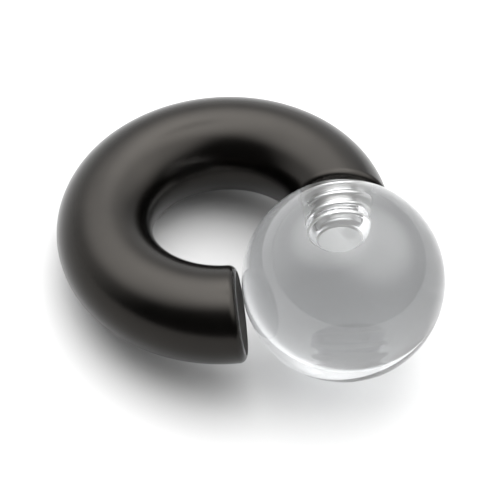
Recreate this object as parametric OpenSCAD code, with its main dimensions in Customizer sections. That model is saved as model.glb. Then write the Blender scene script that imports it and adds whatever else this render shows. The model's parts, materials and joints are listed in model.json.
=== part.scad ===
// Heavy-gauge ball closure ring.
// An open ring of round bar, with a clear ball in its gap. A threaded stud holds
// the ball against one end of the bar, and the other end only meets the ball.
// The two bar ends are cut square to each other and the screw's line lies along
// one of them, so the ball turns out of its seat without touching the other.
// The ring lies at rest: Z = 0 is the table, and the origin is under the middle.

/* [Ring] */
// Diameter of the round bar
bar_d = 10; // [8:0.5:12]
// Clear diameter inside the ring
ring_id = 15; // [13:0.5:22]
// Rounding of the edge around each end of the bar
edge_r = 0.8; // [0.4:0.1:1.2]
// How far the free end's face looks up, out of the ring's plane
free_lean = 6; // [0:1:10]

/* [Ball] */
// Diameter of the ball
ball_d = 20.8; // [17:0.1:25]
// How far the ball's centre stands outside the bar's centre line
ball_offset = 2.2; // [0:0.1:4]
// Clearance between the ball and each bar end when it is screwed home
seat_gap = 0.05; // [0.05:0.05:0.3]

/* [Screw] */
// Outside diameter of the stud's thread
thread_d = 4; // [3:0.5:5]
// Distance from one thread crest to the next
thread_pitch = 0.7; // [0.5:0.05:0.8]
// Radial clearance of the stud in its two holes
thread_fit = 0.05; // [0.02:0.01:0.08]
// Depth of the hole in the ball
ball_hole = 7; // [5:0.5:9]
// Depth of the hole in the end of the bar
bar_hole = 6; // [4:0.5:8]
// Room between each tip of the stud and the end of its hole
tip_gap = 0.3; // [0.2:0.1:0.6]
// Turn of the screw's line about the ball, which brings it near the bar's middle
screw_lean = 9; // [0:1:12]

/* [Hidden] */
$fn = 96;
bar_r = bar_d / 2;
ball_r = ball_d / 2;
ring_r = ring_id / 2 + bar_r;              // radius of the bar's centre line
ball_x = ring_r + ball_offset;             // ring's centre to ball's centre
seat = ball_r + seat_gap;                  // ball's centre to each end face
screw_turn = 45 - screw_lean;              // turn of the ball's own axes in the ring's plane
// the ring's centre, as the ball's own axes see it
hub = [-ball_x * cos(screw_turn), ball_x * sin(screw_turn)];
// where the bar's centre line meets the two end faces, in the ball's own axes
screw_face = [hub.x + sqrt(pow(ring_r, 2) - pow(seat - hub.y, 2)), seat];
free_x = -seat / cos(free_lean);
free_face = [free_x, hub.y - sqrt(pow(ring_r, 2) - pow(free_x - hub.x, 2))];
// resting pose: the ball and the far side of the bar stand on the table
tilt = asin((ball_r - bar_r) / (ring_r + ball_x));
lift = ring_r * sin(tilt) + bar_r;
middle_x = ((ball_x - ring_r) * cos(tilt) + ball_r - bar_r) / 2;
// thread
crest_r = thread_d / 2;
root_r = crest_r - 0.6134 * thread_pitch;
hole_r = crest_r + thread_fit;
stud_low = ball_r - ball_hole + tip_gap;   // tip inside the ball
stud_high = seat + bar_hole - tip_gap;     // tip inside the bar
crests = floor((stud_high - stud_low) / thread_pitch - 0.5);
thread_start = (stud_low + stud_high - crests * thread_pitch) / 2;
drill_point = 31;                          // slope of a drilled hole's conical end
past = 2;                                  // how far a cutter runs past what it cuts

// ring's own axes, turned and lifted so that the assembly stands at rest
module at_rest() {
    translate([-middle_x, 0, lift]) rotate([0, -tilt, 0]) children();
}

// the ball's own axes: origin at its centre, +Y along the screw into the bar
module at_ball() {
    at_rest() translate([ball_x, 0, 0]) rotate([0, 0, screw_turn]) children();
}

// stands a turned shape, drawn along +Z, on the screw's line at distance y
module on_screw(y = 0) {
    translate([0, y, 0]) rotate([-90, 0, 0]) children();
}

// a drilled hole along +Z: straight for depth, with a conical end
module drilled(depth) {
    rotate_extrude() polygon([
        [0, -past], [hole_r, -past], [hole_r, depth], [0, depth + hole_r * tan(drill_point)]
    ]);
}

// what rounding takes off the edge of a bar end whose face is at Z = 0
module edge_cutter() {
    spare = 0.4;                           // the bar bends, so its side leaves the cutter slowly
    rotate_extrude() difference() {
        polygon([
            [bar_r - edge_r, -past], [bar_r + spare, -past],
            [bar_r + spare, edge_r + spare / tan(12)],
            [bar_r, edge_r], [bar_r - edge_r, edge_r]
        ]);
        translate([bar_r - edge_r, edge_r]) circle(r = edge_r);
    }
}

module ring() {
    reach = 2 * (ring_r + bar_d);
    color([0.17, 0.16, 0.15]) difference() {
        at_rest() rotate_extrude($fn = 180) translate([ring_r, 0]) circle(r = bar_r);
        at_ball() {
            // between the two end faces
            rotate([0, -free_lean, 0]) translate([-seat, seat - reach, -bar_d])
                cube([reach, reach, 2 * bar_d]);
            translate([screw_face.x, 0, 0]) on_screw(seat) edge_cutter();
            translate([free_face.x, free_face.y, 0]) rotate([0, -90 - free_lean, 0]) edge_cutter();
            on_screw(seat) drilled(bar_hole);
        }
    }
}

// one ridge of the thread: root, crest, root
function ridge(i) = let (y = thread_start + i * thread_pitch)
    [[root_r, y], [crest_r, y + thread_pitch / 2]];

module threaded_stud() {
    ridges = [for (i = [0 : crests - 1]) each ridge(i)];
    tip_r = root_r - 0.25;
    color([0.78, 0.78, 0.76]) at_ball() on_screw() rotate_extrude() polygon(concat(
        [[0, stud_low], [tip_r, stud_low]], ridges,
        [[root_r, thread_start + crests * thread_pitch], [tip_r, stud_high], [0, stud_high]]
    ));
}

module ball() {
    color([0.85, 0.87, 0.9, 0.4]) at_ball() difference() {
        sphere(r = ball_r);
        translate([0, ball_r, 0]) rotate([90, 0, 0]) drilled(ball_hole);
    }
}

ring();
threaded_stud();
ball();
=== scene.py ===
import json
import math

import bpy
import numpy as np
from mathutils import Matrix, Quaternion, Vector


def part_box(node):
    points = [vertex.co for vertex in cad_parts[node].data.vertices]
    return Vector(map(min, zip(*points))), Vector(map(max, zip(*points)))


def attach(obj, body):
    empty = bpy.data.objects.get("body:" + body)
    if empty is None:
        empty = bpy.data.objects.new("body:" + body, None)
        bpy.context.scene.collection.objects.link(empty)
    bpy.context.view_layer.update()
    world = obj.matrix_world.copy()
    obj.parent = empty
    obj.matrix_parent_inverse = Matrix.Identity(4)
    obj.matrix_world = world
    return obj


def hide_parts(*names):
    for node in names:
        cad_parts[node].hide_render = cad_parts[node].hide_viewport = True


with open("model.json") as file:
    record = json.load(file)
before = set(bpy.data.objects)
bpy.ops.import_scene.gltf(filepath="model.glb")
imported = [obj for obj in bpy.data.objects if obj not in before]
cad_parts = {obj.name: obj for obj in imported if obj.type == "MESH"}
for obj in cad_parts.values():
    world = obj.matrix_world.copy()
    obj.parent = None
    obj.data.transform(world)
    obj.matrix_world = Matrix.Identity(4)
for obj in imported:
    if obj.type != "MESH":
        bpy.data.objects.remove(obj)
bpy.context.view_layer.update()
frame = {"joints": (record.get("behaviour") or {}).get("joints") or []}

mm = 0.001

bar = {
    "radius": 5.0 * mm,
    "edgeRadius": 0.8 * mm,       # rounding around each end
    "seatGap": 0.05 * mm,         # air between an end face and the ball
    "holeDepth": 6.0 * mm,
    "sinkWidth": 0.3 * mm,        # countersink round the hole's mouth
    "freeFaceLean": 6.0,          # degrees that the free end's face looks up, out of the ring's plane
    "around": 168,                # mesh columns around the bar
    "along": 420,                 # mesh rows along the bar
    "edgeRows": 10,
}

thread = {
    "crest": 1.93 * mm,
    "pitch": 0.7 * mm,
    "barAir": 0.02 * mm,          # radial room round the stud in the bar's hole
    "ballGrip": 0.02 * mm,        # how far it presses into the ball's own thread
    "depthShare": 0.6134,         # crest to root, as a share of the pitch
    "coreShare": 0.55,            # crest to the hole's conical end, as a share of the pitch
    "drillSlope": 31,             # degrees of that conical end
    "crisp": 2.2,                 # how flat the crests and roots are
    "rowsPerPitch": 20,
}


def readLayout():
    # the ball and the far side of the bar both stand on the table, which gives the ring's tilt
    ballLow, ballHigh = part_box("ball")
    ringLow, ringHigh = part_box("ring")
    radius = bar["radius"]
    ballRadius = (ballHigh.z - ballLow.z) / 2
    ballCentre = (ballLow + ballHigh) / 2
    restX = ringLow.x + radius
    tilt = math.atan2(ballCentre.z - radius, ballCentre.x - restX)
    ringRadius = ringHigh.y - radius
    ringCentre = Vector((restX + ringRadius * math.cos(tilt), 0, radius + ringRadius * math.sin(tilt)))
    slide = next(joint for joint in frame["joints"] if joint["type"] == "slide")
    screwIn = -Vector(slide["axis"]).normalized()
    ringOut = Vector((math.cos(tilt), 0, math.sin(tilt)))
    ringUp = Vector((-math.sin(tilt), 0, math.cos(tilt)))
    ringAxes = Matrix((ringOut, Vector((0, 1, 0)), ringUp)).transposed()
    ballAxes = Matrix((screwIn.cross(ringUp), screwIn, ringUp)).transposed()
    return {
        "ballCentre": ballCentre, "ballRadius": ballRadius, "ballAxes": ballAxes,
        "ringCentre": ringCentre, "ringRadius": ringRadius, "ringAxes": ringAxes,
    }


layout = readLayout()
seat = layout["ballRadius"] + bar["seatGap"]    # ball's centre to each end face


def toRow(points, axes, centre):
    # points in a piece's own axes, as an array, to the shared frame
    return points @ np.array(axes).T + np.array(centre)


def gridMesh(name, rows, firstTip=None, lastTip=None, sharp=40):
    # rows of equal length, each a closed loop of points, with a point closing either end
    loops, columns = len(rows), len(rows[0])
    points = [tuple(p) for row in rows for p in row]
    faces = []
    for j in range(loops - 1):
        for i in range(columns):
            k = (i + 1) % columns
            low, high = j * columns, (j + 1) * columns
            faces.append((low + i, low + k, high + k, high + i))
    for tip, j, turn in ((firstTip, 0, -1), (lastTip, loops - 1, 1)):
        if tip is None:
            continue
        points.append(tuple(tip))
        for i in range(columns):
            edge = (j * columns + i, j * columns + (i + 1) % columns)
            faces.append((*edge[::turn], len(points) - 1))
    mesh = bpy.data.meshes.new(name)
    mesh.from_pydata(points, [], faces)
    if signedVolume(mesh) < 0:
        mesh.flip_normals()
    mesh.update()
    mesh.shade_smooth()
    mesh.set_sharp_from_angle(angle=math.radians(sharp))
    piece = bpy.data.objects.new(name, mesh)
    bpy.context.scene.collection.objects.link(piece)
    return piece


def signedVolume(mesh):
    mesh.calc_loop_triangles()
    co = np.zeros(len(mesh.vertices) * 3)
    mesh.vertices.foreach_get("co", co)
    co = co.reshape(-1, 3) - co.reshape(-1, 3).mean(0)
    tri = np.zeros(len(mesh.loop_triangles) * 3, int)
    mesh.loop_triangles.foreach_get("vertices", tri)
    a, b, c = (co[tri.reshape(-1, 3)[:, n]] for n in range(3))
    return float(np.einsum("ij,ij->i", a, np.cross(b, c)).sum())


def threadRadius(angle, along):
    # right-hand thread about the screw's line, with softly rounded crests and roots
    depth = thread["depthShare"] * thread["pitch"]
    wave = np.sin(2 * math.pi * along / thread["pitch"] - angle)
    height = 0.5 + 0.5 * np.tanh(thread["crisp"] * wave) / math.tanh(thread["crisp"])
    return thread["crest"] - depth * (1 - height)


def turned(radius, along, angle):
    # a loop in the ball's own axes: +Y along the screw, angle from +Z towards +X
    radius = np.broadcast_to(radius, angle.shape)
    along = np.broadcast_to(along, angle.shape)
    return np.stack([radius * np.sin(angle), along, radius * np.cos(angle)], axis=1)


def threadLevels(low, high):
    # distances along the screw, close enough together to show the thread
    count = max(2, int(round((high - low) / thread["pitch"] * thread["rowsPerPitch"])))
    return np.linspace(low, high, count + 1)


# ring

def endFace(point, normal):
    # a bar end: its plane in the ring's own axes, as the normal and the distance from the centre
    local = layout["ringAxes"].transposed() @ (point - layout["ringCentre"])
    n = layout["ringAxes"].transposed() @ normal
    return n, local.dot(n)


def barPoint(phi, theta, rho):
    # a loop round the bar: phi round the bar, theta round the ring, rho from the centre line
    reach = layout["ringRadius"] + rho * np.cos(phi)
    return np.stack([reach * np.cos(theta), reach * np.sin(theta), rho * np.sin(phi)], axis=1)


def cutAngle(face, phi, rho, depth, side):
    # the angle round the ring at which a line along the bar lies depth behind an end face
    n, distance = face
    reach = (layout["ringRadius"] + rho * np.cos(phi)) * math.hypot(n.x, n.y)
    return math.atan2(n.y, n.x) + side * np.arccos((distance + depth - n.z * rho * np.sin(phi)) / reach)


def buildRing():
    axes, centre = layout["ballAxes"], layout["ballCentre"]
    screwIn, lean = axes.col[1], math.radians(bar["freeFaceLean"])
    away = -axes.col[0] * math.cos(lean) - axes.col[2] * math.sin(lean)
    screwFace = endFace(centre + seat * screwIn, screwIn)
    freeFace = endFace(centre + seat * away, away)
    phi = np.linspace(0, 2 * math.pi, bar["around"], endpoint=False)
    radius, edge = bar["radius"], bar["edgeRadius"]

    def ringRow(theta, rho=radius):
        return toRow(barPoint(phi, theta, rho), layout["ringAxes"], layout["ringCentre"])

    def edgeRows(face, side):
        # from the flat face outwards to the bar's side
        found = []
        for bend in np.linspace(math.pi / 2, 0, bar["edgeRows"] + 1):
            rho = radius - edge * (1 - math.cos(bend))
            depth = edge * (1 - math.sin(bend))
            found.append(ringRow(cutAngle(face, phi, rho, depth, side), rho))
        return found

    freeRows = edgeRows(freeFace, 1)
    screwRows = edgeRows(screwFace, -1)
    freeMiddle = freeRows[0].mean(0)
    rows = [freeMiddle + (freeRows[0] - freeMiddle) * share for share in (0.3, 0.7, 0.98)]
    freeFaceRows = len(rows) + 1                # with the rim of the flat face
    rows += freeRows
    start = cutAngle(freeFace, phi, radius, edge, 1)
    stop = cutAngle(screwFace, phi, radius, edge, -1)
    start = stop + np.mod(start - stop, 2 * math.pi)
    for share in np.linspace(0, 1, bar["along"] + 1)[1:-1]:
        rows.append(ringRow(start + (stop - start) * share))
    rows += screwRows[::-1]

    # the tapped hole, with its columns lined up with the bar's own
    rim = (screwRows[0] - np.array(centre)) @ np.array(axes)
    angle = np.arctan2(rim[:, 0], rim[:, 2])
    holeRows = []
    mouth = thread["crest"] + thread["barAir"] + bar["sinkWidth"]
    for share in (0.02, 0.5, 0.97, 1.0):
        flat = turned(mouth, seat, angle)
        holeRows.append(rim + (flat - rim) * share)
    bottom = seat + bar["holeDepth"]
    for level in threadLevels(seat, bottom)[1:]:
        wall = threadRadius(angle, level) + thread["barAir"]
        sink = mouth - (level - seat)           # 45 degree countersink at the mouth
        holeRows.append(turned(np.maximum(wall, sink), level, angle))
    core = thread["crest"] - thread["coreShare"] * thread["pitch"]
    holeRows.append(turned(core, bottom, angle))
    tipLevel = bottom + core * math.tan(math.radians(thread["drillSlope"]))
    tip = turned(0, tipLevel, angle[:1])[0]
    rows += [toRow(row, axes, centre) for row in holeRows]
    piece = gridMesh("ringBar", rows, firstTip=freeMiddle, lastTip=toRow(tip, axes, centre))
    cut = np.zeros(len(piece.data.vertices), np.float32)
    cut[:freeFaceRows * bar["around"]] = 1
    cut[(len(rows) - len(holeRows) - 1) * bar["around"]:] = 1      # the other face and its hole
    piece.data.attributes.new("cutFace", "FLOAT", "POINT").data.foreach_set("value", cut)
    return piece


# stud

stud = {
    "ballTip": 3.52 * mm,         # ball's centre to the tip inside the ball
    "barReach": 5.7 * mm,         # length past the end face, into the bar
    "tipRadius": 1.32 * mm,
    "around": 144,
}


def buildStud():
    angle = np.linspace(0, 2 * math.pi, stud["around"], endpoint=False)
    low, high = stud["ballTip"], seat + stud["barReach"]
    rows = [turned(stud["tipRadius"] * share, low, angle) for share in (0.5, 0.97)]
    for level in threadLevels(low, high):
        chamfer = stud["tipRadius"] + min(level - low, high - level)
        rows.append(turned(np.minimum(threadRadius(angle, level), chamfer), level, angle))
    rows += [turned(stud["tipRadius"] * share, high, angle) for share in (0.97, 0.5)]
    axes, centre = layout["ballAxes"], layout["ballCentre"]
    rows = [toRow(row, axes, centre) for row in rows]
    tips = [toRow(turned(0, level, angle[:1])[0], axes, centre) for level in (low, high)]
    return gridMesh("studThread", rows, *tips)


# ball

ball = {
    "holeDepth": 6.8 * mm,
    "mouthRadius": 2.05 * mm,
    "endRadius": 1.25 * mm,       # nearly flat middle of the hole's end
    "endSlope": 3,                # degrees of that middle
    "endCorner": 1.0 * mm,        # rounding around it
    "threadStart": 0.6,           # share of the rounding at which the thread sets in
    "around": 256,
    "rows": 220,
}


def buildBall():
    angle = np.linspace(0, 2 * math.pi, ball["around"], endpoint=False)
    radius = layout["ballRadius"]
    floorLevel = radius - ball["holeDepth"]
    core, corner = ball["endRadius"], ball["endCorner"]
    coneTip = floorLevel - core * math.tan(math.radians(ball["endSlope"]))
    rows = []
    for share in (0.25, 0.6, 1):
        rows.append(turned(core * share, coneTip + (floorLevel - coneTip) * share, angle))
    top = math.sqrt(radius ** 2 - ball["mouthRadius"] ** 2)
    for level in threadLevels(floorLevel, top)[1:-1]:
        wall = threadRadius(angle, level) - thread["ballGrip"]
        sink = ball["mouthRadius"] - (top - level)
        climb = (level - floorLevel) / corner    # the thread runs out in the hole's rounded end
        rounded = core + (thread["crest"] - core) * math.sqrt(1 - (1 - min(1, climb)) ** 2)
        wall = rounded + (wall - rounded) * min(1, max(0, climb - ball["threadStart"]))
        rows.append(turned(np.maximum(wall, sink), level, angle))
    mouthAngle = math.asin(ball["mouthRadius"] / radius)
    for polar in np.linspace(mouthAngle, math.pi, ball["rows"] + 1)[:-1]:
        rows.append(turned(radius * math.sin(polar), radius * math.cos(polar), angle))
    axes, centre = layout["ballAxes"], layout["ballCentre"]
    rows = [toRow(row, axes, centre) for row in rows]
    tips = [toRow(turned(0, level, angle[:1])[0], axes, centre) for level in (coneTip, -radius)]
    return gridMesh("clearBall", rows, *tips, sharp=75)        # the thread's flanks shade smoothly


# shared material effects

def nodeGroup(name, inputs, outputs):
    group = bpy.data.node_groups.new(name, "ShaderNodeTree")
    for label, start in inputs:
        socket = group.interface.new_socket(name=label, in_out="INPUT", socket_type="NodeSocketFloat")
        socket.default_value = start
    for label in outputs:
        group.interface.new_socket(name=label, in_out="OUTPUT", socket_type="NodeSocketFloat")
    return group, group.nodes.new("NodeGroupInput"), group.nodes.new("NodeGroupOutput")


def addMath(tree, operation, first, second=None, third=None):
    node = tree.nodes.new("ShaderNodeMath")
    node.operation = operation
    for slotIndex, value in enumerate((first, second, third)):
        if value is None:
            continue
        if isinstance(value, (int, float)):
            node.inputs[slotIndex].default_value = value
        else:
            tree.links.new(value, node.inputs[slotIndex])
    return node.outputs[0]


def buildGrain():
    # fine even grain, with slow patches that change how strong it looks
    group, given, result = nodeGroup(
        "satinGrain", [("Grain Size", 9000), ("Patch Size", 300)], ["Grain", "Patch"])
    coords = group.nodes.new("ShaderNodeTexCoord")
    fine = group.nodes.new("ShaderNodeTexNoise")
    fine.inputs["Detail"].default_value = 2
    slow = group.nodes.new("ShaderNodeTexNoise")
    slow.inputs["Detail"].default_value = 3
    for noise, label in ((fine, "Grain Size"), (slow, "Patch Size")):
        group.links.new(coords.outputs["Object"], noise.inputs["Vector"])
        group.links.new(given.outputs[label], noise.inputs["Scale"])
    group.links.new(fine.outputs["Fac"], result.inputs["Grain"])
    group.links.new(slow.outputs["Fac"], result.inputs["Patch"])
    return group


def buildScratches():
    # short thin strokes, one in some of the cells of a stretched cell pattern
    group, given, result = nodeGroup(
        "shortScratches", [("Size", 260), ("Share", 0.12), ("Width", 0.06), ("Turn", 0.6)], ["Mask"])
    coords = group.nodes.new("ShaderNodeTexCoord")
    turn = group.nodes.new("ShaderNodeVectorRotate")
    turn.inputs["Axis"].default_value = (0.35, 0.5, 0.8)
    stretch = group.nodes.new("ShaderNodeVectorMath")
    stretch.operation = "MULTIPLY"
    stretch.inputs[1].default_value = (1.0, 7.0, 7.0)
    cells = group.nodes.new("ShaderNodeTexVoronoi")
    cells.inputs["Randomness"].default_value = 0.9
    group.links.new(coords.outputs["Object"], turn.inputs["Vector"])
    group.links.new(given.outputs["Turn"], turn.inputs["Angle"])
    group.links.new(turn.outputs[0], stretch.inputs[0])
    group.links.new(stretch.outputs[0], cells.inputs["Vector"])
    group.links.new(given.outputs["Size"], cells.inputs["Scale"])
    pick = group.nodes.new("ShaderNodeSeparateColor")
    group.links.new(cells.outputs["Color"], pick.inputs["Color"])
    chosen = addMath(group, "LESS_THAN", pick.outputs[0], given.outputs["Share"])
    inside = addMath(group, "DIVIDE", cells.outputs["Distance"], given.outputs["Width"])
    fade = group.nodes.new("ShaderNodeMapRange")
    fade.inputs["From Min"].default_value = 1.0
    fade.inputs["From Max"].default_value = 0.2
    group.links.new(inside, fade.inputs["Value"])
    group.links.new(addMath(group, "MULTIPLY", chosen, fade.outputs[0]), result.inputs["Mask"])
    return group


grainGroup = buildGrain()
scratchGroup = buildScratches()
print("effects: satinGrain, shortScratches")


def startMaterial(name, shaderValues):
    material = bpy.data.materials.new(name)
    material.use_nodes = True
    tree = material.node_tree
    shader = tree.nodes["Principled BSDF"]
    for label, value in shaderValues.items():
        shader.inputs[label].default_value = value
    return material, tree, shader


def placeGroup(tree, group, values):
    node = tree.nodes.new("ShaderNodeGroup")
    node.node_tree = group
    for label, value in values.items():
        node.inputs[label].default_value = value
    return node


def spread(tree, value, low, high):
    # maps a 0 to 1 mask onto low to high
    node = tree.nodes.new("ShaderNodeMapRange")
    node.inputs["To Min"].default_value = low
    node.inputs["To Max"].default_value = high
    tree.links.new(value, node.inputs["Value"])
    return node.outputs[0]


def blendColours(tree, mask, first, second):
    node = tree.nodes.new("ShaderNodeMix")
    node.data_type = "RGBA"
    node.inputs["A"].default_value = (*first, 1)
    node.inputs["B"].default_value = (*second, 1)
    tree.links.new(mask, node.inputs["Factor"])
    return node.outputs["Result"]


def addBump(tree, shader, height, strength, distance):
    bump = tree.nodes.new("ShaderNodeBump")
    bump.inputs["Strength"].default_value = strength
    bump.inputs["Distance"].default_value = distance
    tree.links.new(height, bump.inputs["Height"])
    tree.links.new(bump.outputs["Normal"], shader.inputs["Normal"])


darkCoat = {
    "thin": (0.029, 0.0270, 0.0246),    # warm dark grey of the coat
    "thick": (0.023, 0.0216, 0.0202),
    "roughLow": 0.20, "roughHigh": 0.28,
    "cutRough": 0.5,                   # how much rougher the two cut faces are
    "markRough": 0.08,                 # and the scratches
    "grain": {"Grain Size": 9000, "Patch Size": 260},
    "marks": {"Size": 420, "Share": 0.10, "Width": 0.05, "Turn": 1.1},
    "bump": 0.12, "bumpDepth": 0.02 * mm,
}


def buildDarkCoat():
    material, tree, shader = startMaterial("darkCoat", {"Metallic": 1.0})
    grain = placeGroup(tree, grainGroup, darkCoat["grain"])
    marks = placeGroup(tree, scratchGroup, darkCoat["marks"])
    colour = blendColours(tree, grain.outputs["Patch"], darkCoat["thick"], darkCoat["thin"])
    tree.links.new(colour, shader.inputs["Base Color"])
    rough = spread(tree, grain.outputs["Patch"], darkCoat["roughLow"], darkCoat["roughHigh"])
    rough = addMath(tree, "MULTIPLY_ADD", marks.outputs["Mask"], darkCoat["markRough"], rough)
    cut = tree.nodes.new("ShaderNodeAttribute")
    cut.attribute_name = "cutFace"
    rough = addMath(tree, "MULTIPLY_ADD", cut.outputs["Fac"], darkCoat["cutRough"], rough)
    tree.links.new(rough, shader.inputs["Roughness"])
    addBump(tree, shader, grain.outputs["Grain"], darkCoat["bump"], darkCoat["bumpDepth"])
    return material


brightSteel = {
    "low": (0.60, 0.60, 0.59), "high": (0.68, 0.68, 0.67),
    "roughLow": 0.24, "roughHigh": 0.36,
    "grain": {"Grain Size": 16000, "Patch Size": 900},
    "bump": 0.15, "bumpDepth": 0.02 * mm,
}


def buildBrightSteel():
    material, tree, shader = startMaterial("brightSteel", {"Metallic": 1.0})
    grain = placeGroup(tree, grainGroup, brightSteel["grain"])
    colour = blendColours(tree, grain.outputs["Patch"], brightSteel["low"], brightSteel["high"])
    tree.links.new(colour, shader.inputs["Base Color"])
    rough = spread(tree, grain.outputs["Patch"], brightSteel["roughLow"], brightSteel["roughHigh"])
    tree.links.new(rough, shader.inputs["Roughness"])
    addBump(tree, shader, grain.outputs["Grain"], brightSteel["bump"], brightSteel["bumpDepth"])
    return material


clearAcrylic = {
    # the body tint is painted shade: clear acrylic darkened to grey so the shaded table seen through
    # the ball looks dark; the mark tint is that same painted shade, a touch darker for the scratches
    "body": (0.67, 0.68, 0.69), "mark": (0.63, 0.64, 0.65),
    "ior": 1.49,
    "markRough": 0.35,
    "marks": {"Size": 150, "Share": 0.12, "Width": 0.08, "Turn": 0.5},
    "bump": 0.2, "bumpDepth": -0.03 * mm,
}


def buildClearAcrylic():
    material, tree, shader = startMaterial(
        "clearAcrylic", {"Metallic": 0.0, "Transmission Weight": 1.0, "IOR": clearAcrylic["ior"]})
    marks = placeGroup(tree, scratchGroup, clearAcrylic["marks"])
    # grey tint of painted shade for the shaded table seen through the ball, a touch darker in the
    # scratches
    colour = blendColours(tree, marks.outputs["Mask"], clearAcrylic["body"], clearAcrylic["mark"])
    tree.links.new(colour, shader.inputs["Base Color"])
    rough = spread(tree, marks.outputs["Mask"], 0.0, clearAcrylic["markRough"])
    tree.links.new(rough, shader.inputs["Roughness"])
    addBump(tree, shader, marks.outputs["Mask"], clearAcrylic["bump"], clearAcrylic["bumpDepth"])
    return material


# put the object together

ringBar = buildRing()
print("ring bar:", len(ringBar.data.polygons), "faces")
studThread = buildStud()
print("stud:", len(studThread.data.polygons), "faces")
clearBall = buildBall()
print("ball:", len(clearBall.data.polygons), "faces")

for piece, material, node, body, slot in (
    (ringBar, buildDarkCoat(), "ring", "ring", "dark_coat"),
    (studThread, buildBrightSteel(), "threaded_stud", "ball", "bright_steel"),
    (clearBall, buildClearAcrylic(), "ball", "ball", "clear_acrylic"),
):
    piece.data.materials.append(material)
    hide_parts(node)
    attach(piece, body)
print("materials are on, and pieces ride on their bodies")


# floor, light, camera

table = {"size": 1.6, "colour": (0.53, 0.53, 0.53, 1), "rough": 0.6, "shine": 0.2}


def buildFloor():
    half = table["size"] / 2
    corners = [(-half, -half, 0), (half, -half, 0), (half, half, 0), (-half, half, 0)]
    mesh = bpy.data.meshes.new("tableTop")
    mesh.from_pydata(corners, [], [(0, 1, 2, 3)])
    floor = bpy.data.objects.new("tableTop", mesh)
    bpy.context.scene.collection.objects.link(floor)
    material, tree, shader = startMaterial("paleTable", {
        "Base Color": table["colour"], "Roughness": table["rough"],
        "Specular IOR Level": table["shine"]})
    mesh.materials.append(material)


sky = {
    "dim": 0.09,                            # everywhere
    "panelLeft": {"azimuth": -80, "elevation": 62, "glow": 3.5, "edge": 50, "full": 14},
    "panelRight": {"azimuth": 26, "elevation": 66, "glow": 3.1, "edge": 56, "full": 12},
    "wallLeft": {"azimuth": -75, "elevation": 12, "glow": 1.4, "edge": 76, "full": 25},
    "wallBack": {"azimuth": 5, "elevation": 22, "glow": 0.8, "edge": 55, "full": 15},
    "gap": {"azimuth": -40, "elevation": 72, "glow": -2.8, "edge": 10, "full": 3},
    "table": 1.0,                           # below the horizon, where the table runs on
    "horizon": 0.01,                        # half the height of the change between them
}


def heading(azimuth, elevation):
    # azimuth 0 is +Y, and 90 is +X
    azimuth, elevation = math.radians(azimuth), math.radians(elevation)
    level = math.cos(elevation)
    return (math.sin(azimuth) * level, math.cos(azimuth) * level, math.sin(elevation))


def buildLight():
    # soft studio light: two large panels overhead, a dark gap between them, and pale walls
    world = bpy.data.worlds.new("studioLight")
    world.use_nodes = True
    tree = world.node_tree
    background = tree.nodes["Background"]
    direction = tree.nodes.new("ShaderNodeTexCoord").outputs["Generated"]
    total = sky["dim"]
    for name in ("panelLeft", "panelRight", "wallLeft", "wallBack", "gap"):
        soft = sky[name]
        toward = tree.nodes.new("ShaderNodeVectorMath")
        toward.operation = "DOT_PRODUCT"
        toward.inputs[1].default_value = heading(soft["azimuth"], soft["elevation"])
        tree.links.new(direction, toward.inputs[0])
        fade = tree.nodes.new("ShaderNodeMapRange")
        fade.interpolation_type = "SMOOTHSTEP"
        fade.inputs["From Min"].default_value = math.cos(math.radians(soft["edge"]))
        fade.inputs["From Max"].default_value = math.cos(math.radians(soft["full"]))
        tree.links.new(toward.outputs["Value"], fade.inputs["Value"])
        total = addMath(tree, "MULTIPLY_ADD", fade.outputs[0], soft["glow"], total)
    split = tree.nodes.new("ShaderNodeSeparateXYZ")
    tree.links.new(direction, split.inputs[0])
    above = tree.nodes.new("ShaderNodeMapRange")
    above.inputs["From Min"].default_value = -sky["horizon"]
    above.inputs["From Max"].default_value = sky["horizon"]
    tree.links.new(split.outputs["Z"], above.inputs["Value"])
    mix = tree.nodes.new("ShaderNodeMix")
    mix.inputs["A"].default_value = sky["table"]
    tree.links.new(above.outputs[0], mix.inputs["Factor"])
    tree.links.new(total, mix.inputs["B"])
    tree.links.new(mix.outputs["Result"], background.inputs["Strength"])
    background.inputs["Color"].default_value = (1, 1, 1, 1)
    bpy.context.scene.world = world


camera = {
    "aim": (0.00044, -0.00168, 0.00866),
    "azimuth": -24.494,            # 0 looks along +Y
    "elevation": 51.955,
    "roll": 12.141,
    "distance": 0.27284,
    "lens": 190.39,
}


def buildCamera():
    data = bpy.data.cameras.new("studioCamera")
    data.lens = camera["lens"]
    data.sensor_width = 36
    data.clip_start, data.clip_end = 0.01, 10
    view = bpy.data.objects.new("studioCamera", data)
    bpy.context.scene.collection.objects.link(view)
    back = Vector(heading(camera["azimuth"] + 180, camera["elevation"]))
    roll = Quaternion((0, 0, 1), math.radians(camera["roll"]))
    view.location = Vector(camera["aim"]) + back * camera["distance"]
    view.rotation_mode = "QUATERNION"
    view.rotation_quaternion = (-back).to_track_quat("-Z", "Y") @ roll
    bpy.context.scene.camera = view


buildFloor()
buildLight()
buildCamera()
bpy.context.scene.view_settings.view_transform = "Standard"
print("floor, light and camera are in place")
